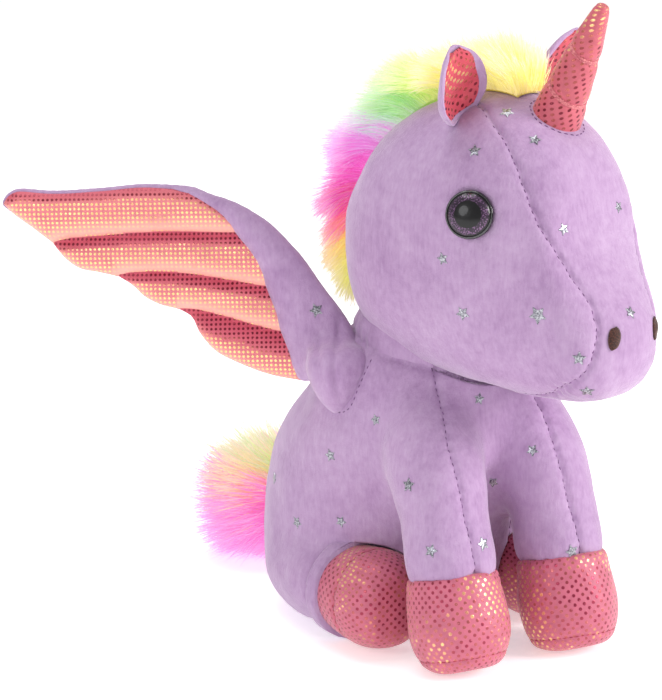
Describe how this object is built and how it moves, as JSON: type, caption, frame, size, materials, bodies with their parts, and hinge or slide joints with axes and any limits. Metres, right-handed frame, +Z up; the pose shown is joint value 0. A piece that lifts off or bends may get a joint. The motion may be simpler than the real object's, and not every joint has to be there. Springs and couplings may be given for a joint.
{
  "type": "plush unicorn",
  "caption": "Seated plush unicorn with a stuffed body, turning head, cone horn, sewn-on wings, fur mane and tail and foil hooves.",
  "frame": {"origin": "centre of the flat seat panel, on the floor plane", "axes": "+Z up, -Y the way the body faces, +X the toy's left side"},
  "size_m": [0.2682, 0.2433, 0.2469],
  "materials": {
    "lilac_plush": "short pile plush with a soft sheen",
    "pink_foil": "pink woven fabric with gold foil dots",
    "wing_foil": "salmon quilted fabric with fine gold foil dots",
    "fibre_fill": "loose polyester fibre",
    "eye_plastic": "polished, with a glitter ring",
    "washer_plastic": "plain moulded",
    "brown_thread": "satin stitch",
    "pink_thread": "twisted thread",
    "mane_fur": "long pile fur in rainbow colours",
    "fur_backing": "knitted backing",
    "tail_fur": "long pile fur in rainbow colours"
  },
  "bodies": {
    "torso": {"seat_panel": "lilac_plush", "body_right_panel": "lilac_plush", "body_left_panel": "lilac_plush", "chest_panel": "lilac_plush", "body_stuffing": "fibre_fill", "neck_band": "lilac_plush", "neck_stuffing": "fibre_fill", "right_front_hoof_cup": "pink_foil", "left_front_hoof_cup": "pink_foil", "right_hind_hoof_cup": "pink_foil", "left_hind_hoof_cup": "pink_foil", "right_front_hoof_sole": "pink_foil", "left_front_hoof_sole": "pink_foil", "right_hind_hoof_sole": "pink_foil", "left_hind_hoof_sole": "pink_foil", "right_front_hoof_stuffing": "fibre_fill", "left_front_hoof_stuffing": "fibre_fill", "right_hind_hoof_stuffing": "fibre_fill", "left_hind_hoof_stuffing": "fibre_fill"},
    "head": {"head_right_panel": "lilac_plush", "head_left_panel": "lilac_plush", "head_gusset": "lilac_plush", "head_stuffing": "fibre_fill", "horn_cover": "pink_foil", "horn_stuffing": "fibre_fill", "horn_thread": "pink_thread", "right_eye": "eye_plastic", "left_eye": "eye_plastic", "right_eye_washer": "washer_plastic", "left_eye_washer": "washer_plastic", "right_nostril": "brown_thread", "left_nostril": "brown_thread", "mane_backing": "fur_backing", "mane_pile": "mane_fur"},
    "right_ear": {"right_ear_shell": "lilac_plush", "right_ear_lining": "pink_foil"},
    "left_ear": {"left_ear_shell": "lilac_plush", "left_ear_lining": "pink_foil"},
    "right_wing": {"right_wing_arm": "lilac_plush", "right_wing_arm_stuffing": "fibre_fill", "right_wing_membrane": "wing_foil", "right_wing_batting": "fibre_fill", "right_wing_back": "lilac_plush"},
    "left_wing": {"left_wing_arm": "lilac_plush", "left_wing_arm_stuffing": "fibre_fill", "left_wing_membrane": "wing_foil", "left_wing_batting": "fibre_fill", "left_wing_back": "lilac_plush"},
    "tail": {"tail_core": "lilac_plush", "tail_pile": "tail_fur"}
  },
  "joints": [
    {"name": "head_turn", "type": "hinge", "parent": "torso", "child": "head", "pos_m": [0, -0.04, 0.13], "axis": [0, 0, 1], "range_deg": [-30, 12], "stiffness_Nm_per_rad": 0.5},
    {"name": "right_wing_flap", "type": "hinge", "parent": "torso", "child": "right_wing", "pos_m": [-0.041, -0.024, 0.1], "axis": [0, 0, 1], "range_deg": [-20, 20], "stiffness_Nm_per_rad": 0.08},
    {"name": "left_wing_flap", "type": "hinge", "parent": "torso", "child": "left_wing", "pos_m": [0.041, -0.024, 0.1], "axis": [0, 0, -1], "range_deg": [-20, 20], "stiffness_Nm_per_rad": 0.08},
    {"name": "tail_swing", "type": "hinge", "parent": "torso", "child": "tail", "pos_m": [0, 0.057, 0.027], "axis": [0, 0, 1], "range_deg": [-15, 15], "stiffness_Nm_per_rad": 0.03},
    {"name": "right_ear_fold", "type": "hinge", "parent": "head", "child": "right_ear", "pos_m": [-0.01916, -0.07102, 0.21057], "axis": [0.8824, 0.2364, 0.4067], "range_deg": [-15, 12], "stiffness_Nm_per_rad": 0.02},
    {"name": "left_ear_fold", "type": "hinge", "parent": "head", "child": "left_ear", "pos_m": [0.0321, -0.05728, 0.21057], "axis": [0.8824, 0.2364, -0.4067], "range_deg": [-15, 12], "stiffness_Nm_per_rad": 0.02}
  ]
}
